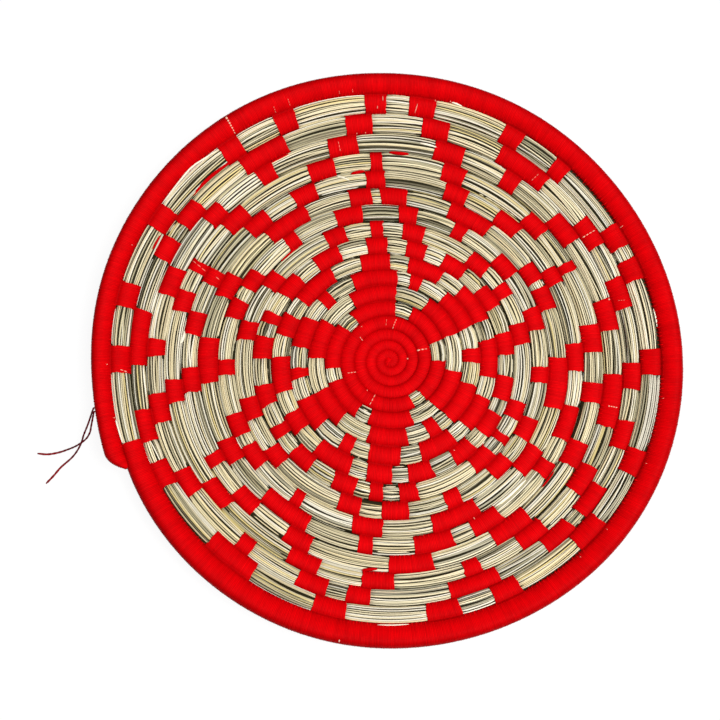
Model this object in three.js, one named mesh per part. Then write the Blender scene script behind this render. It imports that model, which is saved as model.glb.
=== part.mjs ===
// Shallow coiled dish. One long bundle of straw stalks winds outwards from an eye, flat at first and then
// up a low bowed wall. Red raffia binds it: all round the middle, in bands that leave a six-pointed star,
// and all round the last turn, which is the rim. Two loose ends of the raffia hang from the rim.
// Millimetres and degrees. +Z is up, and the origin is the middle of the footprint, on the ground.
import * as THREE from "three";

// Coil: one row per turn, measured between the middles of neighbouring rows
const EYE_RADIUS = 2.5;
const START_PITCH = 4.6;
const ROW_PITCH = 9;
const RIM_PITCH = 10.5;
const COIL_TURNS = 17.566;
const FATTENING_TURNS = 6.5;
const RIM_TURNS = 1.019;
const RIM_BLEND_TURNS = 3;
const ROW_GAP = 0.55;

// The last stretch of the coil thins towards its end, stays against the row inside it and ends in a nose
const END_TAPER_TURNS = 0.26;
const END_SHARE = 0.75;
const NOSE_TURNS = 0.011;
const NOSE_TIP_SHARE = 0.4;

// Profile: flat base, then an upward bow
const BASE_RADIUS = 78;
const WALL_BEND_RADIUS = 129;

// Raffia binding round the straw, which is drawn in under it and swells again beside it
const WRAP_CLEARANCE = 0.3;
const WRAP_WALL = 0.4;
const SHOULDER_LENGTH = 1.4;

// Star: bare notches between its points open row by row, each as a share of the way to the next notch.
// The axes are where the notches point in the third row, and they lean back a little in each later row.
const STAR_START_TURN = 3;
const NOTCH_AXES = [301.9, 363.2, 432.2, 496.9, 548.5, 603.2];
const NOTCH_SHARES = [0.13, 0.22, 0.29, 0.34, 0.415, 0.455, 0.5];
const AXIS_ROW = 2;
const AXIS_LEAN = 2.3;
const AXIS_LEAN_EASING = 0.09;

// Loose raffia ends: each leaves the rim sideways, droops to the ground and lies on it.
// A route point is a step east and north of the exit, and a height above the ground.
const TAIL_DIAMETER = 0.9;
const TAIL_ROOT_GAP = 0.3;
const TAIL_STEP = 2.4;
const TAIL_LAID_HEIGHT = 0.6;
const TAIL_A_TURNS_FROM_END = 0.0365;
const TAIL_B_TURNS_FROM_END = 0.0345;
const TAIL_A_ROUTE = [
  [-3.4, -4.2, 18],
  [-5.2, -7.5, 15],
  [-8.3, -12.4, 10],
  [-11, -17.2, 5],
  [-15.4, -22.7, 1.2],
  [-21.4, -28.2, TAIL_LAID_HEIGHT],
  [-24.6, -32.2, TAIL_LAID_HEIGHT],
  [-28.4, -36.4, TAIL_LAID_HEIGHT],
];
const TAIL_B_ROUTE = [
  [-2.6, -4.4, 18.6],
  [-3.6, -7, 16.2],
  [-4.6, -9.6, 13.8],
  [-7, -12.6, 11],
  [-10.8, -15.1, 8.8],
  [-14.6, -16.6, 5.8],
  [-18.6, -17.7, 2.8],
  [-23, -18.9, 1],
  [-28.5, -19.8, TAIL_LAID_HEIGHT],
  [-33.7, -19.4, TAIL_LAID_HEIGHT],
];

// Facets: six-sided rows with a flat below, a nose in two steps and eight-sided loose ends
const STEPS_PER_TURN = 24;
const NOSE_STEPS = 2;
const ROW_SIDES = 6;
const TAIL_SIDES = 8;
const FULL_TURN = 2 * Math.PI;
const CORNER_ANGLE = FULL_TURN / ROW_SIDES;

const RIM_START = COIL_TURNS - RIM_TURNS;
const RIM_BLEND_START = RIM_START - RIM_BLEND_TURNS;
const TAPER_START = COIL_TURNS - END_TAPER_TURNS;
const NOSE_START = COIL_TURNS - NOSE_TURNS;
const NOSE_RINGS = Array.from({ length: NOSE_STEPS + 1 }, (_, k) => {
  return COIL_TURNS - (NOSE_TURNS * (NOSE_STEPS - k)) / NOSE_STEPS;
});
const ROW_RADIUS = (ROW_PITCH - ROW_GAP) / 2;
const WRAP_REACH = WRAP_CLEARANCE + WRAP_WALL;

// Area under a smooth step that has risen as far as x
function stepArea(x) {
  const u = THREE.MathUtils.clamp(x, 0, 1);
  return u ** 3 - u ** 4 / 2 + Math.max(x - 1, 0);
}

// Spacing of the rows where the coil has made t turns
function rowPitch(t) {
  const fattened = THREE.MathUtils.smoothstep(t, 0, FATTENING_TURNS);
  const rim = THREE.MathUtils.smoothstep(t, RIM_BLEND_START, RIM_START);
  return START_PITCH + (ROW_PITCH - START_PITCH) * fattened + (RIM_PITCH - ROW_PITCH) * rim;
}

// Outer radius of a bound row, out to its corners, as the coil thins but before its nose is rounded off
function thinnedRadius(t) {
  const thinning = 1 - (1 - END_SHARE) * THREE.MathUtils.smoothstep(t, TAPER_START, COIL_TURNS);
  return (thinning * (rowPitch(t) - ROW_GAP)) / 2;
}

// The same with the nose rounded off
function boundRadius(t) {
  const pastNose = THREE.MathUtils.clamp((t - NOSE_START) / NOSE_TURNS, 0, 1);
  return thinnedRadius(t) * (1 - (1 - NOSE_TIP_SHARE) * pastNose ** 2);
}

// Distance along the profile from the axis to the middle of the row: the sum of the pitches so far
function reach(t) {
  const fattening = FATTENING_TURNS * stepArea(t / FATTENING_TURNS);
  const rim = RIM_BLEND_TURNS * stepArea((t - RIM_BLEND_START) / RIM_BLEND_TURNS);
  const full = EYE_RADIUS + START_PITCH * t + (ROW_PITCH - START_PITCH) * fattening;
  const drawnIn = (rowPitch(t) - ROW_GAP) / 2 - boundRadius(t);
  return full + (RIM_PITCH - ROW_PITCH) * rim - drawnIn;
}

// Middle of the row, with the ways along the profile (across) and square to it (inward and up)
function rowFrame(t) {
  const along = reach(t);
  const slope = Math.max(along - BASE_RADIUS, 0) / WALL_BEND_RADIUS;
  const radius = Math.min(along, BASE_RADIUS) + WALL_BEND_RADIUS * Math.sin(slope);
  const rise = WALL_BEND_RADIUS * (1 - Math.cos(slope));
  const lowestCorner = Math.min(thinnedRadius(t), ROW_RADIUS) * Math.sin(CORNER_ANGLE + slope);
  const out = new THREE.Vector3(Math.cos(FULL_TURN * t), Math.sin(FULL_TURN * t), 0);
  const up = new THREE.Vector3(0, 0, 1);
  return {
    middle: out.clone().multiplyScalar(radius).addScaledVector(up, rise + lowestCorner),
    across: out.clone().multiplyScalar(Math.cos(slope)).addScaledVector(up, Math.sin(slope)),
    normal: out.clone().multiplyScalar(-Math.sin(slope)).addScaledVector(up, Math.cos(slope)),
  };
}

// Point of the row at an angle round its section, at a distance from its middle
function sectionPoint(frame, angle, distance) {
  const point = frame.middle.clone().addScaledVector(frame.across, distance * Math.cos(angle));
  return point.addScaledVector(frame.normal, distance * Math.sin(angle));
}

// How much of a turn a length along the row takes
function turnsAlong(length, t) {
  const { x, y } = rowFrame(t).middle;
  return length / (FULL_TURN * Math.hypot(x, y));
}

// Corners of a row's section, on the bound row's surface or inside it (below zero)
function sectionRing(t, offset) {
  const frame = rowFrame(t);
  const corners = [];
  for (let k = 0; k < ROW_SIDES; k++) {
    corners.push(sectionPoint(frame, CORNER_ANGLE * k, boundRadius(t) + offset));
  }
  return corners;
}

// The same on the facets of the coil, between the whole steps or the nose's rings on either side of t
function facetRing(t, offset) {
  const step = Math.floor(t * STEPS_PER_TURN);
  const before = Math.max(step / STEPS_PER_TURN, ...NOSE_RINGS.filter((ring) => ring <= t));
  const after = Math.min((step + 1) / STEPS_PER_TURN, ...NOSE_RINGS.filter((ring) => ring > t));
  const share = (t - before) / (after - before);
  const near = sectionRing(before, offset);
  const far = sectionRing(after, offset);
  return near.map((corner, k) => corner.lerp(far[k], share));
}

// Turns at which a stretch of the coil has a ring: its ends, and the whole steps and nose between them
function ringTurns(from, to) {
  const turns = [from, ...NOSE_RINGS.filter((ring) => ring > from && ring < to)];
  const first = Math.floor(from * STEPS_PER_TURN) + 1;
  for (let step = first; step / STEPS_PER_TURN < to; step++) {
    turns.push(step / STEPS_PER_TURN);
  }
  turns.push(to);
  return turns.sort((a, b) => a - b);
}

// Side faces between one ring and the next; an inner wall is turned the other way
function addWall(triangles, rings, inner) {
  for (let i = 0; i + 1 < rings.length; i++) {
    for (let k = 0; k < ROW_SIDES; k++) {
      const next = (k + 1) % ROW_SIDES;
      const [a, b] = [rings[i][k], rings[i][next]];
      const [c, d] = [rings[i + 1][next], rings[i + 1][k]];
      triangles.push(...(inner ? [a, b, c, a, c, d] : [a, d, c, a, c, b]));
    }
  }
}

// Flat end over a whole ring, facing back along the coil, or ahead
function addCap(triangles, ring, ahead) {
  for (let k = 1; k + 1 < ROW_SIDES; k++) {
    triangles.push(ring[0], ...(ahead ? [ring[k + 1], ring[k]] : [ring[k], ring[k + 1]]));
  }
}

// Flat end between an outer and an inner ring
function addLip(triangles, outer, inner, ahead) {
  for (let k = 0; k < ROW_SIDES; k++) {
    const next = (k + 1) % ROW_SIDES;
    const [a, b, c, d] = [outer[k], outer[next], inner[next], inner[k]];
    triangles.push(...(ahead ? [a, c, b, a, d, c] : [a, b, c, a, c, d]));
  }
}

function solid(name, triangles, material) {
  const geometry = new THREE.BufferGeometry().setFromPoints(triangles);
  geometry.computeVertexNormals();
  const mesh = new THREE.Mesh(geometry, material);
  mesh.name = name;
  return mesh;
}

function strawMaterial() {
  return new THREE.MeshStandardMaterial({ color: 0xd8d2a6, roughness: 0.75, metalness: 0 });
}

function raffiaMaterial() {
  return new THREE.MeshStandardMaterial({ color: 0xe6040f, roughness: 0.6, metalness: 0 });
}

// Least distance between the corners of rows that lie beside each other or across the eye
function leastGap(turns, rings) {
  const apart = 0.5;
  let least = Infinity;
  for (let i = 0; i < rings.length; i++) {
    for (let j = i + 1; j < rings.length; j++) {
      if (turns[j] - turns[i] < apart) continue;
      for (const p of rings[i]) {
        for (const q of rings[j]) {
          least = Math.min(least, p.distanceTo(q));
        }
      }
    }
  }
  return least;
}

// A bound stretch of the coil, and how far the straw's drawn-in part and its shoulders run
function boundStretch(from, to) {
  const clear = [from, to].map((t) => turnsAlong(WRAP_CLEARANCE, t));
  const swelled = [from, to].map((t) => turnsAlong(WRAP_CLEARANCE + SHOULDER_LENGTH, t));
  return {
    from,
    to,
    drawnIn: [from - clear[0], to + clear[1]],
    shoulders: [from - swelled[0], to + swelled[1]],
  };
}

// How far the straw lies inside the bound row's surface: nothing where it is bare
function strawOffset(t, stretches) {
  let share = 0;
  for (const { drawnIn, shoulders } of stretches) {
    const before = (t - shoulders[0]) / (drawnIn[0] - shoulders[0]);
    const after = (shoulders[1] - t) / (shoulders[1] - drawnIn[1]);
    share = Math.max(share, Math.min(before, after, 1));
  }
  return -WRAP_REACH * share;
}

// The straw bundle: one unbroken tube from the eye to the end of the rim
function strawCoil(stretches) {
  const turns = ringTurns(0, COIL_TURNS);
  for (const { drawnIn, shoulders } of stretches) {
    turns.push(...[...drawnIn, ...shoulders].filter((t) => t > 0 && t < COIL_TURNS));
  }
  turns.sort((a, b) => a - b);
  const rings = turns.map((t) => facetRing(t, strawOffset(t, stretches)));
  const triangles = [];
  addWall(triangles, rings, false);
  addCap(triangles, rings[0], false);
  addCap(triangles, rings[rings.length - 1], true);
  console.log("straw_coil: least gap to itself " + leastGap(turns, rings).toFixed(2) + " mm");
  return solid("straw_coil", triangles, strawMaterial());
}

// A stretch of binding: a sleeve round the straw
function wrap(name, { from, to }) {
  const turns = ringTurns(from, to);
  const outer = turns.map((t) => facetRing(t, 0));
  const inner = turns.map((t) => facetRing(t, -WRAP_WALL));
  const triangles = [];
  addWall(triangles, outer, false);
  addWall(triangles, inner, true);
  addLip(triangles, outer[0], inner[0], false);
  addLip(triangles, outer[outer.length - 1], inner[inner.length - 1], true);
  return solid(name, triangles, raffiaMaterial());
}

// The rim's binding, closed over the cut end of the straw
function rimWrap({ from, to }) {
  const inside = to + turnsAlong(WRAP_CLEARANCE, to);
  const outside = to + turnsAlong(WRAP_REACH, to);
  const outer = ringTurns(from, outside).map((t) => facetRing(t, 0));
  const inner = ringTurns(from, inside).map((t) => facetRing(t, -WRAP_WALL));
  const triangles = [];
  addWall(triangles, outer, false);
  addWall(triangles, inner, true);
  addLip(triangles, outer[0], inner[0], false);
  addCap(triangles, outer[outer.length - 1], true);
  addCap(triangles, inner[inner.length - 1], false);
  return solid("rim_wrap", triangles, raffiaMaterial());
}

// Where a notch of the star points, in turns of the coil; notches are counted along the coil
function notchAxis(count) {
  const row = Math.floor(count / NOTCH_AXES.length);
  const later = row - AXIS_ROW;
  const lean = AXIS_LEAN * later - AXIS_LEAN_EASING * later * later;
  const degrees = NOTCH_AXES[count - row * NOTCH_AXES.length] - lean;
  return STAR_START_TURN + row + degrees / 360;
}

// Edges of a notch towards its neighbours along the coil
function notchEdges(count) {
  const share = NOTCH_SHARES[Math.floor(count / NOTCH_AXES.length)];
  const axis = notchAxis(count);
  const start = axis - share * (axis - notchAxis(count - 1));
  const end = axis + share * (notchAxis(count + 1) - axis);
  return { start, end };
}

// The points of the star: between two notches the row is bound
function starStretches() {
  const stretches = [];
  const rows = NOTCH_SHARES.length - 1;
  for (let count = 0; count < rows * NOTCH_AXES.length; count++) {
    stretches.push(boundStretch(notchEdges(count).end, notchEdges(count + 1).start));
  }
  return stretches;
}

function starWrap(stretch, count) {
  const point = (count % NOTCH_AXES.length) + 1;
  const row = Math.floor(count / NOTCH_AXES.length) + 1;
  return wrap("star_point_" + point + "_wrap_" + row, stretch);
}

// A loose end of the raffia, from the side of the rim to where it lies on the ground
function tail(name, turnsFromEnd, route) {
  const corners = facetRing(COIL_TURNS - turnsFromEnd, 0);
  const middle = corners[0].clone().lerp(corners[ROW_SIDES / 2], 0.5);
  const side = corners[0].clone().lerp(corners[ROW_SIDES - 1], 0.5);
  const outward = side.clone().sub(middle).normalize();
  const exit = side.clone().addScaledVector(outward, TAIL_ROOT_GAP);
  const clear = exit.clone().addScaledVector(outward, TAIL_DIAMETER);
  const points = [exit, clear];
  for (const [east, north, height] of route) {
    points.push(new THREE.Vector3(exit.x + east, exit.y + north, height));
  }
  const path = new THREE.CatmullRomCurve3(points);
  const section = new THREE.Shape();
  section.setFromPoints(
    Array.from({ length: TAIL_SIDES }, (_, k) => {
      const angle = (FULL_TURN * k) / TAIL_SIDES;
      return new THREE.Vector2(Math.cos(angle), Math.sin(angle)).multiplyScalar(TAIL_DIAMETER / 2);
    }),
  );
  const steps = Math.round(path.getLength() / TAIL_STEP);
  const geometry = new THREE.ExtrudeGeometry(section, { extrudePath: path, steps });
  const mesh = new THREE.Mesh(geometry, raffiaMaterial());
  mesh.name = name;
  return mesh;
}

const centre = boundStretch(0, notchEdges(0).start);
const star = starStretches();
const rim = boundStretch(RIM_START, COIL_TURNS);

const dish = new THREE.Group();
dish.add(strawCoil([centre, ...star, rim]));
dish.add(wrap("centre_wrap", centre));
dish.add(...star.map(starWrap));
dish.add(rimWrap(rim));

// The eye lies a little off the middle of the footprint, because the coil grows as it goes round
const footprint = new THREE.Box3().setFromObject(dish).getCenter(new THREE.Vector3());
dish.add(tail("tail_strand_a", TAIL_A_TURNS_FROM_END, TAIL_A_ROUTE));
dish.add(tail("tail_strand_b", TAIL_B_TURNS_FROM_END, TAIL_B_ROUTE));
dish.position.set(-footprint.x, -footprint.y, 0);

const root = new THREE.Group();
root.add(dish);
export default root;
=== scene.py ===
"""A shallow dish of coiled straw bound with red raffia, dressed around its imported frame.

Lengths are millimetres, places along the coil are turns from its eye, and the angles among the
named values are degrees, apart from CORNER_ANGLE. Meshes are in metres.
"""

import math

import bpy
import numpy as np
from mathutils import Matrix, Vector


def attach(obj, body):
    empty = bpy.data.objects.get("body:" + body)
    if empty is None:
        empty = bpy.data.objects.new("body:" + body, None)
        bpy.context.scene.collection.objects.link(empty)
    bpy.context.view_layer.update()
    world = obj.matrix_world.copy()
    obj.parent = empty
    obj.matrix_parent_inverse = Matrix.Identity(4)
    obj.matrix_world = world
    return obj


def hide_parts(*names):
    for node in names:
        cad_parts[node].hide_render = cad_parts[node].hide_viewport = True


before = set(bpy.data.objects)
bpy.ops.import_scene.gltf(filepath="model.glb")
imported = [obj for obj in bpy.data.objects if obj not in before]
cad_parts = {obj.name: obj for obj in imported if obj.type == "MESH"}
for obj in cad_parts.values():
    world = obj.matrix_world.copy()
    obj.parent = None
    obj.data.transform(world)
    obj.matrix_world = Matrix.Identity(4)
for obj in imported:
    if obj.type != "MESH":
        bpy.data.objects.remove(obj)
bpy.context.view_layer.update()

MM = 0.001
FULL_TURN = 2 * math.pi
UP = np.array([0.0, 0.0, 1.0])

# The coil of the frame: its rows, and the bowl that they lie in
EYE_RADIUS = 2.5
START_PITCH = 4.6
ROW_PITCH = 9.0
RIM_PITCH = 10.5
COIL_TURNS = 17.566
FATTENING_TURNS = 6.5
RIM_TURNS = 1.019
RIM_BLEND_TURNS = 3.0
ROW_GAP = 0.55
END_TAPER_TURNS = 0.26
END_SHARE = 0.75
BASE_RADIUS = 78.0
WALL_BEND_RADIUS = 129.0
CORNER_ANGLE = FULL_TURN / 6
EYE = np.array([1.371, -2.261, 0.0])

RIM_START = COIL_TURNS - RIM_TURNS
RIM_BLEND_START = RIM_START - RIM_BLEND_TURNS
TAPER_START = COIL_TURNS - END_TAPER_TURNS
ROW_RADIUS = (ROW_PITCH - ROW_GAP) / 2

# The coil starts as a small knot in its eye and ends in a rounded nose. A thread of the knot arches
# over the eye, by shares of its radius and of the row's half height
KNOT_START = -0.5
KNOT_END = -0.1
KNOT_SHARE = 0.9
KNOT_LOBES = 5
KNOT_RADIUS = 2.4
KNOT_THREAD_RADIUS = 0.7
KNOT_SIDES = 8
KNOT_SHADES = (0.75, 1.0)
KNOT_ARCH = [(1.0, -0.4), (0.8, 0.35), (0.0, 0.62), (-0.8, 0.35), (-1.0, -0.4)]
NOSE_TURNS = 0.0115
NOSE_TIP_SHARE = 0.25
NOSE_TUCK = 1.2

# Where hand-laid rows stray from an even spiral: millimetres outwards, heading and spread in degrees,
# then the turns at which the bulge begins, is grown, starts to fade and is gone
ROW_BULGES = [
    (1.3, 240, 80, 5, 9, 12.5, 15),
    (-1.3, 60, 80, 5, 9, 12.5, 15),
    (2.0, 343, 40, 12, 14.5, 17, 18.5),
    (-0.9, 295, 20, 14, 16, 17, 18.5),
    (-1.6, 240, 50, 14.6, 16.4, 16.6, 18),
    (0.6, 135, 30, 12.5, 15, 17, 18.5),
    (-1.3, 189, 16, 15, 16.3, 18.5, 19.5),
    (-0.7, 38, 26, 15, 16.5, 18.5, 19.5),
    (-0.5, 85, 18, 15, 16.5, 18.5, 19.5),
    (-0.5, 275, 16, 15, 16.5, 18.5, 19.5),
    (1.4, 351, 10, 10.6, 11.475, 11.475, 12.3),
    (1.2, 178, 8, 11.1, 11.99, 11.99, 12.9),
    (1.2, 335, 36, 4, 6.5, 14, 16.2),
    (0.3, 15, 20, 5, 8, 13, 15),
    (-0.9, 75, 24, 5, 7.5, 13, 15.5),
    (1.0, 170, 24, 7, 9.5, 15, 16.8),
    (-1.0, 233, 18, 10, 11.5, 15.3, 16.6),
    (0.7, 285, 20, 5, 8, 13, 15),
    (0.5, 30, 22, 4, 6, 11, 13),
    (-0.5, 40, 26, 12.5, 14, 15.5, 17),
    (0.6, 200, 14, 12, 13.5, 15.5, 16.8),
    (-0.6, 128, 18, 14, 15.5, 16, 17),
    (0.5, 97, 12, 15, 16, 16.4, 17.2),
]

# The loose ends, on the frame's routes: where each leaves the rim, then steps east and north, and height
TAIL_DIAMETER = 0.9
TAIL_LAID_HEIGHT = 0.6
TAIL_A_EXIT = (-143.71, -29.51, 22.70)
TAIL_B_EXIT = (-143.47, -31.35, 22.70)
TAIL_A_ROUTE = [
    (-0.88, -0.16, 22.72),
    (-3.4, -4.2, 18),
    (-5.2, -7.5, 15),
    (-8.3, -12.4, 10),
    (-11, -17.2, 5),
    (-15.4, -22.7, 1.2),
    (-21.4, -28.2, TAIL_LAID_HEIGHT),
    (-24.6, -32.2, TAIL_LAID_HEIGHT),
    (-28.4, -36.4, TAIL_LAID_HEIGHT),
]
TAIL_B_ROUTE = [
    (-0.88, -0.18, 22.72),
    (-2.6, -4.4, 18.6),
    (-3.6, -7, 16.2),
    (-4.6, -9.6, 13.8),
    (-7, -12.6, 11),
    (-10.8, -15.1, 8.8),
    (-14.6, -16.6, 5.8),
    (-18.6, -17.7, 2.8),
    (-23, -18.9, 1),
    (-28.5, -19.8, TAIL_LAID_HEIGHT),
    (-33.7, -19.4, TAIL_LAID_HEIGHT),
]
TAIL_PATH_POINTS = 36
TAIL_SIDES = 10
TAIL_TWIST = 2.2
TAIL_TWIST_DEPTH = 0.12
# painted shade in the grooves between the tail's plies
TAIL_PLY_PAINTED_SHADE = 0.2
TAIL_FRAY_FROM = 0.6
TAIL_FRAY_FULL = 0.85
TAIL_END_SWELL = 0.18
TAIL_TIP_SHARE = 0.6

# The camera: almost straight above, a little to the near side
VIEW_ANGLE = 38.0
VIEW_DISTANCE = 545.6
VIEW_TILT = 8.98
VIEW_AZIMUTH = 255.0
SENSOR_WIDTH = 36.0
IMAGE_SIZE = 720
EYE_PIXEL = np.array([389.0, 361.4])
PATTERN_PIXEL = np.array([390.5, 359.6])
SEEING_STEPS = 5

# How finely rows and curves are measured
OUTLINE_POINTS = 721
FINE_PER_TURN = 720
FEWEST_FINE = 16
CURVE_STEPS = 24

# Sections of the rows, bound ones standing proud
SECTION_FLATNESS = 0.8
SECTION_POWER = 0.74
BINDING_PROUD = 0.3
BINDING_PULL = 0.5
BINDING_SIDES = 16

# Seeds of the random draws: one for all pieces, then the row's number, or these for the middle and rim
SEED = 20
CENTRE_SEED = 14
RIM_SEED = 11

# Raffia threads wound side by side, and the ends of the bands that they make
THREAD_PITCH = 0.75
THREAD_JITTER = 0.15
THREAD_RIDGE = 0.13
THREAD_HEIGHT_SPREAD = 0.04
THREAD_BRIGHTNESS = (0.82, 1.0)
THREAD_LEAN = 0.7
THREAD_END_SHARE = 0.5
BAND_LEAN = 4.0
BAND_LEAD = 0.25
BAND_END_TUCK = 0.06
BAND_END_DROP = 1.0
# painted shade on the last ring of a band, where it tucks under the straw
BAND_END_PAINTED_SHADE = 0.4
BAND_END_RAGGED = 0.2
RAGGED_FADE = 0.2

# Stitches into the row inside: places are shares of a step, slip and lift a mean and a spread, and the
# angles go round the outer row and then the inner one
FIRST_SEWN_TURN = 0.5
STITCH_STEP = 2.3
STITCH_PLACES = (0.3, 0.7)
STITCH_SLIP = (0.5, 0.35)
STITCH_LIFT = (0.05, 0.1)
STITCH_ANGLES = (118, 140, 163, 9, 16, 28)
STITCH_END_DEPTH = 0.5
STITCH_BRIGHTNESS = (0.7, 1.0)
STITCH_RADIUS = 0.3
STITCH_SIDES = 5

# Bridges of thread between bound rows: turns on from the outer row, angle round the section and depth
BRIDGE_KNEES = [(0, 122, 0.15), (0, 152, 0), (-1, 28, 0), (-1, 58, 0.15)]
BRIDGE_ROOT_DEPTH = 0.3
BRIDGE_LIFT_SHARE = 0.6
BRIDGE_LIFT_SPREAD = 0.03
BRIDGE_POINTS = 6

# Stalks round the bundle, and the heart under them, painted near black as shade
STALK_WIDTHS = (0.56, 1.05)
STALK_THICKNESS = (0.75, 1.0)
STALK_GAP = 0.14
WIDEST_GAP = 0.35
STALK_SPACING = 0.94
STALK_SIDES = 6
STALK_STEP = 5.0
STALK_TUCK = 1.6
STALK_LEAST_DEPTH = 0.08
STALK_DEPTH_SPREAD = 0.18
STALK_END_DEPTH = 0.25
STALK_SPREAD = 0.18
SUNK_STALK_SHARE = 0.2
SUNK_STALK_DEPTHS = (0.25, 0.5)
STALK_SWELL = 0.28
FULL_SWELL_LENGTH = 25.0
STALK_DRIFT = 0.05
STALK_BOW = 0.03
HEART_SIDES = 12
HEART_STEP = 5.0
HEART_PROUD = 0.1
HEART_DEPTH = 0.95

# How far the grain of each band and stalk is shifted, at most, so that no two look alike
RAFFIA_GRAIN_SHIFT = 500.0
STRAW_GRAIN_SHIFT = 900.0
STRAW_GIRTH_SHIFT = 90.0

# Where each row of the coil is bound, in degrees as the camera sees them about the pattern's middle;
# past 360 a band runs on into the next row
CENTRE_END = 297.5
RIM_BOUND_FROM = 197.4
RED_BANDS = {
    3: [(312, 359)],
    4: [(22, 66), (85, 131), (146, 188), (201.5, 237.7), (250.3, 290.5), (314.3, 350.5)],
    5: [(22.5, 57.5), (85.5, 123), (149.5, 178.7), (204, 230.3), (254, 282.3), (297.5, 306.2),
        (315.6, 343), (358.5, 368)],
    6: [(23, 50), (68.3, 76), (85.5, 115.8), (133.2, 140.5), (153, 172.3), (185.5, 191.4),
        (204.2, 223), (239.3, 247), (257, 276), (288.2, 309.2), (318.8, 338.2), (350.2, 371.8)],
    7: [(23.5, 45), (58.8, 79.2), (90.5, 107), (123.7, 146.5), (156.3, 167.3), (178.5, 196.7),
        (208, 218.3), (230.2, 249.8), (258.3, 271), (279, 291), (302.8, 314), (321.9, 333.2),
        (340.5, 352)],
    8: [(2.8, 13.5), (26.8, 38.2), (50, 62.4), (72, 82), (91.8, 101.7), (115.3, 128), (138.2, 149),
        (158.5, 163.3), (169.5, 179.5), (191.3, 200.5), (210, 215.3), (223.2, 233.3),
        (244.6, 254.7), (261.2, 266.8), (274, 281.7), (307.7, 317.7), (323.3, 326.9),
        (334.5, 342.2)],
    9: [(7, 15.8), (28.5, 34.4), (43, 52.5), (75.2, 84.5), (93.3, 98.5), (109.6, 118.3),
        (142.5, 149.8), (164.8, 172), (194.9, 203.5), (216.3, 223.7), (250, 258.6), (267, 277),
        (291.3, 297.3), (311.6, 320), (329.3, 337.4), (351.6, 357.3)],
    10: [(11.8, 20.2), (35, 43.9), (59.3, 64.6), (79.5, 86.6), (101, 111.2), (127, 131.7),
         (146.7, 153.5), (158.5, 165.2), (180, 185.2), (199.2, 206.8), (211, 219.3),
         (234.3, 238.2), (257, 267.4), (284.4, 300.5), (319.3, 329.1), (343.7, 360.8)],
    11: [(17.8, 25.8), (28.3, 35), (53, 68.8), (84.3, 93.5), (96.7, 104.3), (119.5, 134.8),
         (151.5, 159.5), (173.2, 187.2), (205.7, 213.3), (227, 243.5), (260.2, 264.5),
         (277.4, 289.5), (295.8, 305.5), (322.6, 327.5), (335.1, 345.8), (356.7, 365.1)],
    12: [(24.6, 30), (45.2, 53.8), (64.8, 72.3), (91.8, 97.8), (113.7, 121.2), (130.5, 138),
         (152.8, 157.3), (166.2, 172.8), (182.2, 189.2), (207.7, 211.3), (220.5, 227.8),
         (238.9, 246.8), (269.7, 282), (299.9, 311.5), (329.6, 336.7), (348.2, 353.6)],
    13: [(2.4, 10), (26.2, 29), (39.8, 46.6), (68, 74.7), (92.5, 95.8), (106.2, 113.6),
         (134.2, 141.4), (152.8, 155.8), (161.4, 167), (185.3, 191.2), (213.6, 221.8),
         (242.4, 251), (262.7, 271), (289.3, 293.7), (305.2, 312.9), (324.5, 332.1), (343, 356.3)],
    14: [(7.8, 15.8), (33, 41.3), (53.9, 58.6), (70.3, 78.2), (98.8, 106.4), (121.4, 126),
         (137.8, 142.9), (156.8, 163.8), (175, 179), (188.3, 195.3), (207.7, 214.3), (230, 233.9),
         (247, 254.5), (259.6, 265.2), (284.4, 296.8), (309.6, 317.6), (321.2, 329.1),
         (338.9, 345.5), (353.2, 359.3)],
    15: [(12.5, 20), (28.8, 36.2), (48.9, 62.3), (75.7, 82.3), (94.5, 100.8), (115.8, 127.5),
         (141, 147), (151, 156.3), (168.7, 181.2), (191.4, 198.7), (203.5, 209.5), (225, 237.2),
         (252.5, 260), (278.2, 285.7), (293.6, 299.9), (315.4, 322.8), (334.5, 340.1),
         (356.8, 362.4)],
    16: [(18, 22.9), (26, 31.3), (46.6, 50.3), (59.2, 63.8), (80, 85.8), (91, 95.7), (111.3, 116),
         (124.7, 129.3), (145.8, 150.9), (163.7, 168.8), (177.2, 182.7)],
}
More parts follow.
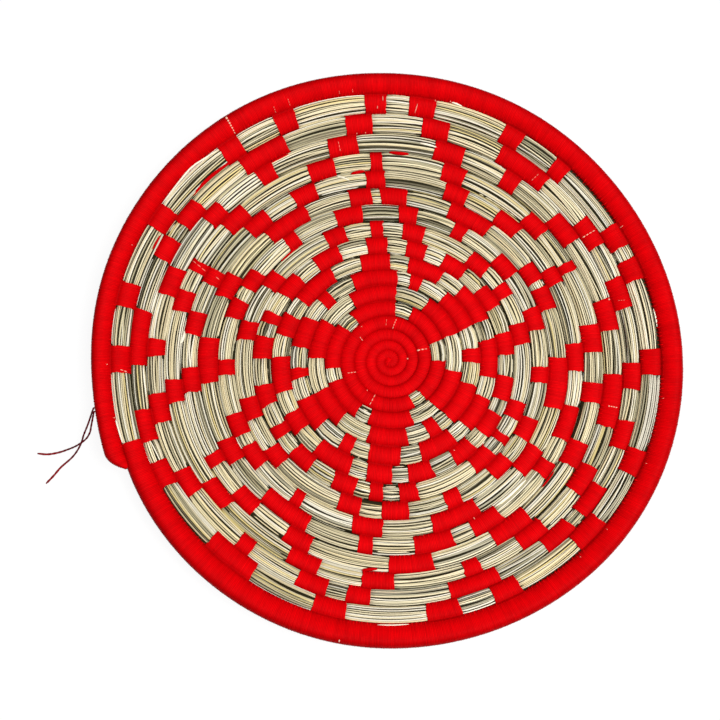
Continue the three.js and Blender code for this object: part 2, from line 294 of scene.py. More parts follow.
# Pale fibres that show through the red, and on the rim at 111.5 degrees a painted highlight on the threads:
# row, degrees and place across it (-1 inner edge, 1 outer edge) at both ends of the mark, number of dashes,
# their radius at both ends and how pale it is
PALE_MARKS = [
    (2, 3.5, -0.95, 4.5, -0.7, 1, 0.3, 0.3, 1),
    (3, 19.3, -0.95, 16.2, 0.55, 3, 0.42, 0.16, 1),
    (3, 81.7, 0.53, 85.6, -0.87, 4, 0.2, 0.2, 0.9),
    (3, 95.4, 0.38, 97.6, -0.57, 2, 0.18, 0.18, 0.3),
    (3, 131.2, 0.38, 131.4, 0.5, 1, 0.24, 0.24, 0.9),
    (3, 143.3, -0.39, 145.2, -0.95, 2, 0.2, 0.2, 0.9),
    (3, 197.3, 0.16, 199.6, -0.95, 3, 0.2, 0.2, 0.9),
    (3, 232.9, -0.85, 232.9, -0.7, 1, 0.22, 0.22, 0.9),
    (3, 246.5, -0.92, 245.2, 0.64, 3, 0.2, 0.2, 0.9),
    (7, 305.1, -0.62, 305.1, -0.5, 1, 0.26, 0.26, 1),
    (11, 297.9, -0.98, 297.9, -0.66, 1, 0.24, 0.24, 0.9),
    (12, 154.6, -0.13, 154.9, -0.67, 1, 0.22, 0.22, 0.5),
    (13, 153.4, 0.95, 154.4, -0.8, 3, 0.22, 0.22, 0.4),
    (13, 348, -0.22, 348, 0.71, 4, 0.28, 0.28, 1),
    (14, 15.4, 0.62, 15.4, 0.8, 1, 0.5, 0.5, 1),
    (14, 103.5, -0.5, 103.5, 0.5, 3, 0.2, 0.2, 0.5),
    (15, 14.6, -0.3, 14.2, 0.4, 3, 0.18, 0.18, 0.3),
    (15, 32.5, -0.7, 32.3, 0.75, 4, 0.34, 0.22, 0.9),
    (15, 51.8, -0.54, 51.4, 0.43, 3, 0.2, 0.2, 0.4),
    *((15, degrees, -0.85, degrees, -0.7, 1, 0.22, 0.22, 0.7) for degrees in (96.2, 98.4)),
    (16, 80.2, 0.75, 80.2, 0.95, 1, 0.26, 0.26, 0.6),
    (16, 83.9, 0.45, 84.4, -0.78, 1, 0.2, 0.5, 0.8),
    (16, 91.7, 0.81, 91.7, 0.2, 1, 0.2, 0.2, 0.7),
    (16, 92.9, -0.14, 93, -0.49, 1, 0.2, 0.2, 0.7),
    (16, 182.1, 0.18, 182.6, -0.49, 2, 0.24, 0.24, 0.9),
    (17, 30, -0.8, 30, -0.5, 2, 0.24, 0.24, 0.7),
    (17, 76.9, -0.8, 76.9, -0.65, 1, 0.26, 0.26, 0.9),
    *((17, degrees, -0.6, degrees, -0.3, 2, 0.2, 0.2, 0.4) for degrees in (98, 100.8)),
    # a painted highlight on the rim's threads, pinkish
    (17, 111.5, -0.6, 111.5, 0.1, 3, 0.22, 0.22, 0.3),
    (17, 114.8, -0.75, 114.8, -0.1, 3, 0.22, 0.22, 0.3),
    (17, 124.2, 0.95, 124.4, -0.78, 7, 0.62, 0.22, 1),
    (17, 156, -0.6, 156, -0.4, 1, 0.2, 0.2, 0.4),
    (17, 180.9, -0.55, 180.9, -0.4, 1, 0.24, 0.24, 0.9),
    (17, 191.8, -0.75, 191.8, -0.6, 1, 0.24, 0.24, 0.9),
    (16, 259.6, 0.86, 259.7, 1, 1, 0.32, 0.32, 1),
    *((16, degrees, -0.6, degrees, -0.4, 1, 0.2, 0.2, 0.5) for degrees in (314, 322, 338, 352)),
]
MARK_SHARE = 0.72
MARK_LIFT = 0.1
MARK_POINTS = 4
MARK_SIDES = 6

# Stalks that have come loose and raffia carried along a row: row and radius, then degrees with half
# widths across and half heights up from the row's middle
LOOSE_STALKS = [
    (11, 0.75, [(305.5, -0.8, 0.7), (309, -0.77, 0.8), (312.4, -0.76, 0.82), (318.5, -0.72, 0.78)]),
    (12, 0.45, [(106.4, 0.94, 0.6), (104.6, 0.5, 0.96), (102.9, 0.05, 1.0)]),
    (13, 0.7, [(171.8, -1.02, 0.4), (173.6, -0.95, 0.7), (175.4, -0.82, 0.7)]),
    (14, 0.6, [(82.4, 0.29, 0.94), (80, 0.26, 1.04), (77.8, 0.22, 0.92)]),
    (15, 0.5, [(163.2, -0.92, 0.5), (166, -0.9, 0.66), (168.8, -0.88, 0.5)]),
    (15, 0.45, [(181.6, -0.55, 0.88), (185, -0.64, 0.9), (188.6, -0.72, 0.78)]),
    (16, 0.4, [(11, 0.98, 0.55), (9, 1.02, 0.7), (7, 0.98, 0.55)]),
    (16, 0.5, [(76.8, 1.1, 0.7), (75.6, 1.08, 0.8), (74.2, 1.0, 0.6)]),
    (16, 0.5, [(129, 0.76, 0.72), (132.9, 0.94, 0.82), (136.4, 1.13, 1), (141, 0.97, 0.8),
               (145.8, 0.9, 0.6)]),
    (16, 0.45, [(192.4, 1.12, 0.75), (194.9, 1.02, 0.75), (197.3, 0.93, 0.6)]),
    (16, 0.3, [(267.2, -0.76, 0.9), (270.6, -0.76, 0.94), (274, -0.82, 0.86)]),
]
CARRIED_THREADS = [
    (9, 0.55, [(138, 0.9, 0.55), (133.5, 0.92, 0.62), (129, 0.9, 0.55)]),
    (12, 0.85, [(266.4, 0.58, 0.86), (264.6, 0.7, 0.9), (262.2, 0.9, 0.6)]),
    (12, 0.6, [(319.9, -0.8, 0.68), (323, -0.8, 0.76), (325.8, -0.8, 0.68)]),
    (13, 0.95, [(101.9, -1.15, 0.7), (99.8, -1.05, 0.8), (97.7, -0.98, 0.6)]),
    (14, 1.0, [(90.3, -0.98, 0.6), (87.5, -1.02, 0.85), (84.9, -0.98, 0.6)]),
    (14, 0.6, [(121.3, 0.78, 0.7), (118.7, 0.8, 0.78), (116.2, 0.78, 0.7)]),
    (16, 0.6, [(155, -0.62, 0.82), (153.2, -0.62, 0.88), (151.5, -0.62, 0.82)]),
    (16, 1.0, [(128.5, -0.8, 0.66), (131.5, -0.74, 0.84), (135, -0.7, 0.86), (138, -0.76, 0.8),
               (140, -0.9, 0.5)]),
]
STRAND_POINTS = 12
STRAND_SIDES = 8
STRAND_END_SHARE = 0.3
STRAND_GRAIN = 10.0
ROOT_LENGTH = 2.6
ROOT_POINTS = 4

FIRST_PATTERN_ROW = min(RED_BANDS)
LAST_PATTERN_ROW = max(RED_BANDS)
STAR_POINTS = 6
STAR_ROWS = 6


def smooth_step(x, low, high):
    u = np.clip((x - low) / (high - low), 0, 1)
    return u * u * (3 - 2 * u)


def step_area(x):
    """Area under a smooth step that has risen as far as x."""
    u = np.clip(x, 0, 1)
    return u**3 - u**4 / 2 + np.maximum(x - 1, 0)


def row_pitch(turns):
    fattened = smooth_step(turns, 0, FATTENING_TURNS)
    rim = smooth_step(turns, RIM_BLEND_START, RIM_START)
    return START_PITCH + (ROW_PITCH - START_PITCH) * fattened + (RIM_PITCH - ROW_PITCH) * rim


def end_share(turns):
    """How full the coil still is as it thins to its end."""
    return 1 - (1 - END_SHARE) * smooth_step(turns, TAPER_START, COIL_TURNS)


def past_nose(turns):
    """How far along the nose at the coil's end, from 0 to 1."""
    return np.clip((turns - COIL_TURNS) / NOSE_TURNS + 1, 0, 1)


def fullness(turns):
    """The thinning of the coil with its rounded nose and the knot that it starts from."""
    nose = 1 - (1 - NOSE_TIP_SHARE) * past_nose(turns) ** 2
    knot = KNOT_SHARE + (1 - KNOT_SHARE) * smooth_step(turns, KNOT_START, KNOT_END)
    return end_share(turns) * nose * knot


def growth(turns):
    """Distance along the bowl's profile from its axis to the middle of an even row."""
    fattening = FATTENING_TURNS * step_area(turns / FATTENING_TURNS)
    rim = RIM_BLEND_TURNS * step_area((turns - RIM_BLEND_START) / RIM_BLEND_TURNS)
    inner = EYE_RADIUS + START_PITCH * turns + (ROW_PITCH - START_PITCH) * fattening
    return inner + (RIM_PITCH - ROW_PITCH) * rim


def laid(turns, heading):
    """The same distance with the bulges of hand-laid rows, on a heading given in turns."""
    total = growth(turns)
    first, last = np.min(turns), np.max(turns)
    for outward, toward, spread, begins, grown, fades, gone in ROW_BULGES:
        if last < begins or first > gone:
            continue
        away = (heading * 360 - toward + 180) % 360 - 180
        lasting = smooth_step(turns, begins, grown) * (1 - smooth_step(turns, fades, gone))
        total = total + outward * lasting * np.exp(-((away / spread) ** 2))
    return total


def half_pitch(turns):
    """Half the room that a row has between its neighbours."""
    return (laid(turns + 0.5, turns) - laid(turns - 0.5, turns)) / 2


def half_width(turns):
    return fullness(turns) * half_pitch(turns)


def bound_radius(turns):
    return (row_pitch(turns) - ROW_GAP) / 2


def half_height(turns):
    return fullness(turns) * bound_radius(turns) * SECTION_FLATNESS


def row_radius(turns):
    """Distance of the row from the axis, and the slope of the bowl there."""
    drawn_in = np.where(turns > TAPER_START, (1 - fullness(turns)) * half_pitch(turns), 0)
    along = laid(turns, turns) - drawn_in - NOSE_TUCK * past_nose(turns) ** 2
    slope = np.maximum(along - BASE_RADIUS, 0) / WALL_BEND_RADIUS
    return np.minimum(along, BASE_RADIUS) + WALL_BEND_RADIUS * np.sin(slope), slope


def row_frame(turns):
    """Middle of the row, and the ways across it and square to the bowl, for any array of turns."""
    radius, slope = row_radius(turns)
    rise = WALL_BEND_RADIUS * (1 - np.cos(slope))
    seat = np.minimum(end_share(turns) * bound_radius(turns), ROW_RADIUS)
    height = rise + seat * np.sin(CORNER_ANGLE + slope)
    angle = FULL_TURN * turns
    out = np.stack([np.cos(angle), np.sin(angle), np.zeros_like(angle)], -1)
    middle = EYE + out * radius[..., None] + UP * height[..., None]
    across = out * np.cos(slope)[..., None] + UP * np.sin(slope)[..., None]
    normal = UP * np.cos(slope)[..., None] - out * np.sin(slope)[..., None]
    return middle, across, normal


def rounded(wave):
    """A cosine or sine drawn out towards its peaks, so that a section has a flatter top."""
    return np.sign(wave) * np.abs(wave) ** SECTION_POWER


def facing(wave):
    """How much of the way square to a rounded section lies across or up, before its half sizes."""
    return np.sign(wave) * np.abs(wave) ** (2 - SECTION_POWER)


def row_surface(turns, around, offset, widened=0.0):
    """Points on the row's rounded section, at an angle round it, raised by an offset."""
    turns, around, offset, widened = np.broadcast_arrays(turns, around, offset, widened)
    middle, across, normal = row_frame(turns)
    wide = (half_width(turns) + offset + widened) * rounded(np.cos(around))
    high = (half_height(turns) + offset) * rounded(np.sin(around))
    return middle + across * wide[..., None] + normal * high[..., None]


def binding_surface(turns, around, offset):
    """Points on a bound row, which is thicker, above all on its inner side where it is sewn on."""
    return row_surface(turns, around, offset, BINDING_PROUD + BINDING_PULL * np.maximum(-np.cos(around), 0))


def outline_angles(turns, shares):
    """Angles round the row's section at shares of the way round its outline, and the way's length."""
    fine = np.linspace(0, FULL_TURN, OUTLINE_POINTS)
    wide = half_width(turns) * rounded(np.cos(fine))
    high = half_height(turns) * rounded(np.sin(fine))
    lengths = np.concatenate([[0.0], np.cumsum(np.hypot(np.diff(wide), np.diff(high)))])
    return np.interp(shares, lengths / lengths[-1], fine), lengths[-1]


def turns_of(length, turns):
    """How much of a turn a length along the row takes."""
    return length / (FULL_TURN * np.maximum(row_radius(turns)[0], EYE_RADIUS))


def even_turns(start, end, spacing):
    """Turns at about even lengths along the row from start to end, and the whole length."""
    fine = np.linspace(start, end, max(int((end - start) * FINE_PER_TURN), FEWEST_FINE))
    points = row_frame(fine)[0]
    steps = np.linalg.norm(np.diff(points, axis=0), axis=1)
    lengths = np.concatenate([[0.0], np.cumsum(steps)])
    count = max(round(lengths[-1] / spacing), 2)
    return np.interp(np.linspace(0, lengths[-1], count + 1), lengths, fine), lengths[-1]


def add_object(name, data):
    made = bpy.data.objects.new(name, data)
    bpy.context.scene.collection.objects.link(made)
    return made


class Shell:
    """Closed tubes gathered into one mesh, with a tint and a place along and round each tube."""

    def __init__(self):
        self.points = []
        self.tints = []
        self.loops = []
        self.sizes = []
        self.places = []
        self.count = 0

    def add(self, rings, tints, along, around):
        """rings, tints: tubes x rings x corners x 3; along: tubes x rings; around: tubes x corners + 1."""
        tubes, length, sides = rings.shape[:3]
        index = self.count + np.arange(tubes * length * sides).reshape(tubes, length, sides)
        nxt = np.roll(index, -1, axis=2)
        quads = np.stack([index[:, :-1], index[:, 1:], nxt[:, 1:], nxt[:, :-1]], -1)
        u0 = np.broadcast_to(along[:, :-1, None], quads.shape[:3])
        u1 = np.broadcast_to(along[:, 1:, None], quads.shape[:3])
        v0 = np.broadcast_to(around[:, None, :-1], quads.shape[:3])
        v1 = np.broadcast_to(around[:, None, 1:], quads.shape[:3])
        corners = [np.stack(pair, -1) for pair in ((u0, v0), (u1, v0), (u1, v1), (u0, v1))]
        caps = np.concatenate([index[:, 0], index[:, -1, ::-1]])
        ends = np.concatenate([along[:, 0], along[:, -1]])
        cap_places = np.stack([np.repeat(ends, sides), np.tile(around[0, :-1], 2 * tubes)], -1)
        self.points.append(rings.reshape(-1, 3))
        self.tints.append(np.broadcast_to(tints, rings.shape).reshape(-1, 3))
        self.loops += [quads.reshape(-1), caps.reshape(-1)]
        self.sizes += [np.full(quads.size // 4, 4), np.full(len(caps), sides)]
        self.places += [np.stack(corners, 3).reshape(-1, 2), cap_places]
        self.count += tubes * length * sides

    def build(self, name, finish):
        """Makes the mesh object, in metres."""
        points = np.concatenate(self.points) * MM
        loops = np.concatenate(self.loops)
        sizes = np.concatenate(self.sizes)
        mesh = bpy.data.meshes.new(name)
        mesh.vertices.add(len(points))
        mesh.vertices.foreach_set("co", points.ravel())
        mesh.loops.add(len(loops))
        mesh.loops.foreach_set("vertex_index", loops.astype(np.int32))
        mesh.polygons.add(len(sizes))
        mesh.polygons.foreach_set("loop_start", (np.cumsum(sizes) - sizes).astype(np.int32))
        mesh.polygons.foreach_set("use_smooth", np.ones(len(sizes), bool))
        mesh.update(calc_edges=True)
        tints = np.concatenate(self.tints)
        colours = np.concatenate([tints, np.ones((len(tints), 1))], 1)
        mesh.color_attributes.new("tint", "FLOAT_COLOR", "POINT")
        mesh.color_attributes["tint"].data.foreach_set("color", colours.ravel())
        mesh.uv_layers.new(name="place")
        mesh.uv_layers["place"].data.foreach_set("uv", np.concatenate(self.places).ravel())
        mesh.materials.append(finish)
        return add_object(name, mesh)


def place_piece(piece, slot, *nodes):
    """Every piece of the dish is on its one body, and most stand for nodes of the frame."""
    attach(piece, "root")
    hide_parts(*nodes)
    return piece


# Camera
def view_axes():
    """The ways to the right, to the top and back out of the picture."""
    tilt = math.radians(VIEW_TILT)
    azimuth = math.radians(VIEW_AZIMUTH)
    back = Vector((math.sin(tilt) * math.cos(azimuth), math.sin(tilt) * math.sin(azimuth), math.cos(tilt)))
    right = Vector((0, 1, 0)).cross(back).normalized()
    return right, back.cross(right), back


def make_camera():
    right, top, back = view_axes()
    data = bpy.data.cameras.new("camera")
    data.sensor_width = SENSOR_WIDTH
    data.lens = SENSOR_WIDTH / 2 / math.tan(math.radians(VIEW_ANGLE / 2))
    data.shift_x = 0.5 - EYE_PIXEL[0] / IMAGE_SIZE
    data.shift_y = EYE_PIXEL[1] / IMAGE_SIZE - 0.5
    camera = add_object("camera", data)
    turn = Matrix((right, top, back)).transposed().to_4x4()
    camera.matrix_world = Matrix.Translation((Vector(EYE) + back * VIEW_DISTANCE) * MM) @ turn
    bpy.context.scene.camera = camera


def pixel_of(points):
    """Where the camera sees points of the dish."""
    right, top, back = (np.array(axis) for axis in view_axes())
    away = points - EYE
    focal = IMAGE_SIZE / 2 / math.tan(math.radians(VIEW_ANGLE / 2))
    scale = focal / (VIEW_DISTANCE - away @ back)
    return EYE_PIXEL + np.stack([scale * (away @ right), -scale * (away @ top)], -1)


def seen_turns(row, degrees):
    """The turns at which the top of a row is seen at angles about the pattern's middle pixel."""
    wanted = row + np.asarray(degrees, float) / 360
    turns = wanted.copy()
    for _ in range(SEEING_STEPS):
        top = row_surface(turns, FULL_TURN / 4, 0.0)
        right, down = np.moveaxis(pixel_of(top) - PATTERN_PIXEL, -1, 0)
        turns += (wanted - np.arctan2(-down, right) / FULL_TURN + 0.5) % 1 - 0.5
    return turns


# Colours, painted shades and finishes
RAFFIA_RED = np.array([0.82, 0.0, 0.002])
# painted shade on the threads carried along the rows
CARRIED_PAINTED_SHADE = 0.66
# painted shade in the grooves between wound threads
GROOVE_PAINTED_SHADE = 0.7
# painted shade in the middle of the valleys between bound rows
VALLEY_PAINTED_SHADE = 0.36
# painted shade on the flanks of the bands
FLANK_PAINTED_SHADE = 0.38
TAIL_RED = np.array([0.13, 0.0, 0.006])
TAIL_END_RED = np.array([0.3, 0.006, 0.01])
# pale fibre, also used for the painted highlight among the marks
PALE_FIBRE_AND_HIGHLIGHT = np.array([0.97, 0.52, 0.37])
# painted shade: the inside of the bundle, near black
HEART_PAINTED_SHADE = np.array([0.025, 0.021, 0.009])
STRAW_PALE = np.array([0.98, 0.92, 0.74])
STRAW_TINTS = np.array([
    [0.98, 0.86, 0.56],
    [0.88, 0.74, 0.43],
    [0.66, 0.58, 0.35],
    [0.42, 0.38, 0.23],
    [0.86, 0.69, 0.28],
    [0.15, 0.13, 0.07],
    STRAW_PALE,
])
DARK_STRAW = 5
DARK_STALK_SHARE = 0.6
STRAW_TINT_SHARES = [0.25, 0.13, 0.11, 0.11, 0.05, 0.14, 0.21]
# painted shade: each stalk's tint is darkened towards its sides and underside
STALK_PAINTED_UNDERSHADE = 0.16
OWN_TINT_SHARE = 0.8
STALK_BRIGHTNESS = (0.88, 1.05)
STRETCH_BRIGHTNESS = (0.92, 1.04)
RAFFIA_SPECULAR = 0.02
TAIL_SPECULAR = 0.08
STRAW_SPECULAR = 0.35
HEART_SPECULAR = 0.03

# Fine and broad noise along the fibres: cycles per millimetre along and round a tube, and detail. Shades
# and roughness run from one number to the other over the noise's usual span
NOISE_SPAN = (0.3, 0.7)
NOISE_ROUGHNESS = 0.6
RAFFIA_LOOK = {
    "fine": (5.0, 0.5, 3.0),
    "broad": (0.12, 0.12, 2.0),
    "fine_shades": (0.84, 1.05),
    "broad_shades": (0.84, 1.05),
    "roughness": (0.72, 0.5),
    "bump_height": 0.12,
    "bump_strength": 0.6,
}
STRAW_LOOK = {
    "fine": (0.08, 5.0, 3.0),
    "broad": (0.05, 0.6, 2.0),
    "fine_shades": (0.82, 1.06),
    "broad_shades": (0.82, 1.08),
    "roughness": (0.62, 0.4),
    "bump_height": 0.1,
    "bump_strength": 0.5,
}


# Materials
def new_material(name):
    made = bpy.data.materials.new(name)
    made.use_nodes = True
    return made, made.node_tree, made.node_tree.nodes["Principled BSDF"]


def add_node(tree, kind, **values):
    """A node of that kind; a value is set on the socket or the property of its name."""
    node = tree.nodes.new(kind)
    for key, value in values.items():
        if hasattr(node, key):
            setattr(node, key, value)
        else:
            node.inputs[key.replace("_", " ")].default_value = value
    return node


def fibre_noise(tree, along, around, detail):
    """Noise drawn out along or round the tubes: cycles per millimetre each way."""
    place = add_node(tree, "ShaderNodeUVMap", uv_map="place")
    scale = add_node(tree, "ShaderNodeVectorMath", operation="MULTIPLY")
    scale.inputs[1].default_value = (along, around, 1)
    noise = add_node(tree, "ShaderNodeTexNoise", Scale=1.0, Detail=detail, Roughness=NOISE_ROUGHNESS)
    tree.links.new(place.outputs["UV"], scale.inputs[0])
    tree.links.new(scale.outputs["Vector"], noise.inputs["Vector"])
    return noise.outputs["Fac"]


def spread_noise(tree, noise, low, high):
    """The usual span of a noise, drawn out to run from low to high."""
    node = add_node(tree, "ShaderNodeMapRange")
    for key, number in zip(("From Min", "From Max", "To Min", "To Max"), (*NOISE_SPAN, low, high)):
        node.inputs[key].default_value = number
    tree.links.new(noise, node.inputs["Value"])
    return node.outputs["Result"]


def multiply_colour(tree, colour, shade):
    node = add_node(tree, "ShaderNodeVectorMath", operation="SCALE")
    tree.links.new(colour, node.inputs[0])
    tree.links.new(shade, node.inputs["Scale"])
    return node.outputs["Vector"]


def fibre_material(name, specular, look):
    """Raffia or straw: fine fibres along each tube, with broader stretches of paler and deeper colour."""
    made, tree, shader = new_material(name)
    tint = add_node(tree, "ShaderNodeAttribute", attribute_name="tint")
    fine = fibre_noise(tree, *look["fine"])
    broad = fibre_noise(tree, *look["broad"])
    colour = multiply_colour(tree, tint.outputs["Color"], spread_noise(tree, fine, *look["fine_shades"]))
    colour = multiply_colour(tree, colour, spread_noise(tree, broad, *look["broad_shades"]))
    bump = add_node(tree, "ShaderNodeBump", Strength=look["bump_strength"])
    bump.inputs["Distance"].default_value = look["bump_height"] * MM
    tree.links.new(fine, bump.inputs["Height"])
    tree.links.new(colour, shader.inputs["Base Color"])
    tree.links.new(spread_noise(tree, fine, *look["roughness"]), shader.inputs["Roughness"])
    tree.links.new(bump.outputs["Normal"], shader.inputs["Normal"])
    shader.inputs["Specular IOR Level"].default_value = specular
    return made


# Thin tubes
def smooth_path(points, count):
    """Evenly spaced points on a smooth curve through the given ones, and its length."""
    points = np.array(points, float)
    guarded = np.concatenate([[2 * points[0] - points[1]], points, [2 * points[-1] - points[-2]]])
    fine = []
    for p0, p1, p2, p3 in zip(guarded, guarded[1:], guarded[2:], guarded[3:]):
        u = np.linspace(0, 1, CURVE_STEPS, endpoint=False)[:, None]
        bend = (2 * p0 - 5 * p1 + 4 * p2 - p3) * u**2 + (3 * p1 - p0 - 3 * p2 + p3) * u**3
        fine.append(p1 + ((p2 - p0) * u + bend) / 2)
    fine = np.concatenate([*fine, points[-1:]])
    lengths = np.concatenate([[0.0], np.cumsum(np.linalg.norm(np.diff(fine, axis=0), axis=1))])
    even = np.linspace(0, lengths[-1], count)
    return np.stack([np.interp(even, lengths, fine[:, k]) for k in range(3)], -1), lengths[-1]


def tube_rings(paths, radii):
    """Round rings along paths: paths is tubes x rings x 3, radii tubes x rings x corners."""
    ahead = np.gradient(paths, axis=1)
    ahead /= np.linalg.norm(ahead, axis=-1, keepdims=True)
    side = np.cross(ahead, UP)
    side /= np.linalg.norm(side, axis=-1, keepdims=True)
    over = np.cross(side, ahead)
    angle = np.linspace(0, FULL_TURN, radii.shape[-1], endpoint=False)[:, None]
    spokes = over[:, :, None] * np.cos(angle) - side[:, :, None] * np.sin(angle)
    return paths[:, :, None] + spokes * radii[..., None]


def add_threads(shell, paths, radius, sides, tints):
    """Tubes of one thickness, drawn in at both ends; tints is tubes x 3."""
    tubes, length = paths.shape[:2]
    taper = np.ones(length)
    taper[[0, -1]] = THREAD_END_SHARE
    radii = np.broadcast_to(radius * taper[None, :, None], (tubes, length, sides))
    rings = tube_rings(paths, radii)
    steps = np.linalg.norm(np.diff(paths, axis=1), axis=-1)
    along = np.concatenate([np.zeros((tubes, 1)), np.cumsum(steps, axis=1)], 1)
    girth = np.linspace(0, FULL_TURN * radius, sides + 1)[None]
    shell.add(rings, np.broadcast_to(tints[:, None, None], rings.shape), along, girth)


def make_tail(name, node, exit_point, route, finish):
    """A loose end of the raffia, two-ply and limp, from the rim down to the floor."""
    points = [exit_point]
    points += [(exit_point[0] + east, exit_point[1] + north, height) for east, north, height in route]
    path, length = smooth_path(points, TAIL_PATH_POINTS)
    along = np.linspace(0, length, TAIL_PATH_POINTS)
    angle = np.linspace(0, FULL_TURN, TAIL_SIDES, endpoint=False)
    lobes = np.cos(2 * angle[None] - TAIL_TWIST * along[:, None])
    frayed = smooth_step(along / length, TAIL_FRAY_FROM, TAIL_FRAY_FULL)[:, None]
    radii = TAIL_DIAMETER / 2 * (1 + TAIL_TWIST_DEPTH * lobes) * (1 + TAIL_END_SWELL * frayed)
    radii[-1] *= TAIL_TIP_SHARE
    shell = Shell()
    around = np.linspace(0, FULL_TURN * TAIL_DIAMETER / 2, TAIL_SIDES + 1)[None]
    reds = TAIL_RED + (TAIL_END_RED - TAIL_RED) * frayed[..., None]
    # The grooves between the two plies are painted darker: a painted shade.
    shades = reds * (1 - TAIL_PLY_PAINTED_SHADE + TAIL_PLY_PAINTED_SHADE * lobes[..., None])
    shell.add(tube_rings(path[None], radii[None]), shades[None], along[None], around)
    tail = place_piece(shell.build(name, finish), "red_raffia", node)


# Bound stretches of the coil
def wound(start, end, rng):
    """Threads side by side: the turns of their grooves and ridges, with height, painted shade and whole
    length.
    """
    edges, length = even_turns(start, end, THREAD_PITCH)
    count = len(edges) - 1
    edges[1:-1] += rng.uniform(-THREAD_JITTER, THREAD_JITTER, count - 1) * np.diff(edges).mean()
    turns = np.empty(2 * count + 1)
    turns[0::2] = edges
    turns[1::2] = (edges[:-1] + edges[1:]) / 2
    raised = np.full(2 * count + 1, -THREAD_RIDGE)
    raised[1::2] = THREAD_RIDGE + rng.normal(0, THREAD_HEIGHT_SPREAD, count)
    # The grooves between threads are painted darker than the ridges, a painted shade, then every thread
    # gets a random tone.
    bright = np.full(2 * count + 1, GROOVE_PAINTED_SHADE)
    bright[1::2] = 1.0
    return turns, raised, bright * rng.uniform(*THREAD_BRIGHTNESS, len(bright)), length


def bind(shell, start, end, rng):
    """A sleeve of raffia threads wound side by side, drawn in and a little ragged at both ends."""
    turns, raised, bright, length = wound(start, end, rng)
    tuck = turns_of(BAND_END_TUCK, np.array([start, end]))
    turns = np.concatenate([[start + tuck[0]], turns, [end - tuck[1]]])
    raised = np.concatenate([[-BAND_END_DROP], raised, [-BAND_END_DROP]])
    # The last ring at each end sinks under the straw and is painted dark: a painted shade.
    bright = np.concatenate([[BAND_END_PAINTED_SHADE], bright, [BAND_END_PAINTED_SHADE]])
    lean = np.linspace(*rng.normal(0, math.radians(BAND_LEAN), 2), len(turns))
    lean += np.repeat(rng.normal(0, math.radians(THREAD_LEAN), len(turns)), 2)[: len(turns)]
    around = np.linspace(0, FULL_TURN, BINDING_SIDES, endpoint=False)
    ragged = rng.normal(0, BAND_END_RAGGED, (2, BINDING_SIDES))
    from_end = np.minimum(np.arange(len(turns)), np.arange(len(turns))[::-1])
    fade = np.clip(1 + RAGGED_FADE - RAGGED_FADE * from_end, 0, 1)
    ragged = fade[:, None] * ragged[(np.arange(len(turns)) > len(turns) / 2).astype(int)]
    shift = (np.tan(lean) * half_width(turns))[:, None] * np.cos(around) + ragged
    spread = turns[:, None] + turns_of(1.0, turns)[:, None] * shift
    rings = binding_surface(spread, around, raised[:, None])
    # Each band is painted darker towards its flanks than on its top: a painted shade.
    shade = 1 - FLANK_PAINTED_SHADE * rounded(np.cos(around))[:, None] ** 2
    tints = np.broadcast_to(RAFFIA_RED * bright[:, None, None] * shade, rings.shape)
    along = np.linspace(0, length, len(turns)) + rng.uniform(0, RAFFIA_GRAIN_SHIFT)
    width = FULL_TURN * half_width(turns).mean()
    shell.add(rings[None], tints[None], along[None], np.linspace(0, width, BINDING_SIDES + 1)[None])


def bridge(shell, start, end, rng):
    """Threads sewn across the valley between a bound stretch and the bound row inside it."""
    turns, raised, bright, length = wound(start, end, rng)
    lift = raised * BRIDGE_LIFT_SHARE + rng.normal(0, BRIDGE_LIFT_SPREAD, len(turns))
    along = np.linspace(0, length, len(turns))[None]
    for side in (1, -1):
        far, near, near_in, far_in = (
            binding_surface(turns + onward, side * math.radians(degrees), lift - depth)
            for onward, degrees, depth in BRIDGE_KNEES
        )
        u = np.linspace(0, 1, BRIDGE_POINTS)[:, None]
        web = far[:, None] * (1 - u) ** 3 + far_in[:, None] * u**3
        web = web + 3 * u * (1 - u) * (near[:, None] * (1 - u) + near_in[:, None] * u)
        inner_root = row_surface(turns - 1, 0.0, -BRIDGE_ROOT_DEPTH)
        outer_root = row_surface(turns, math.pi, -BRIDGE_ROOT_DEPTH)
        rings = np.concatenate([web, np.stack([inner_root, outer_root], 1)], 1)[:, ::side]
        # The thread is painted darker across the middle of the valley: a painted shade.
        shade = np.ones((rings.shape[1], 1))
        shade[:BRIDGE_POINTS] -= VALLEY_PAINTED_SHADE * 4 * u * (1 - u)
        tints = np.broadcast_to(RAFFIA_RED * bright[:, None, None] * shade[::side], rings.shape)
        girth = np.linspace(0, 2 * ROW_RADIUS, rings.shape[1] + 1)[None]
        shell.add(rings[None], tints[None], along, girth)


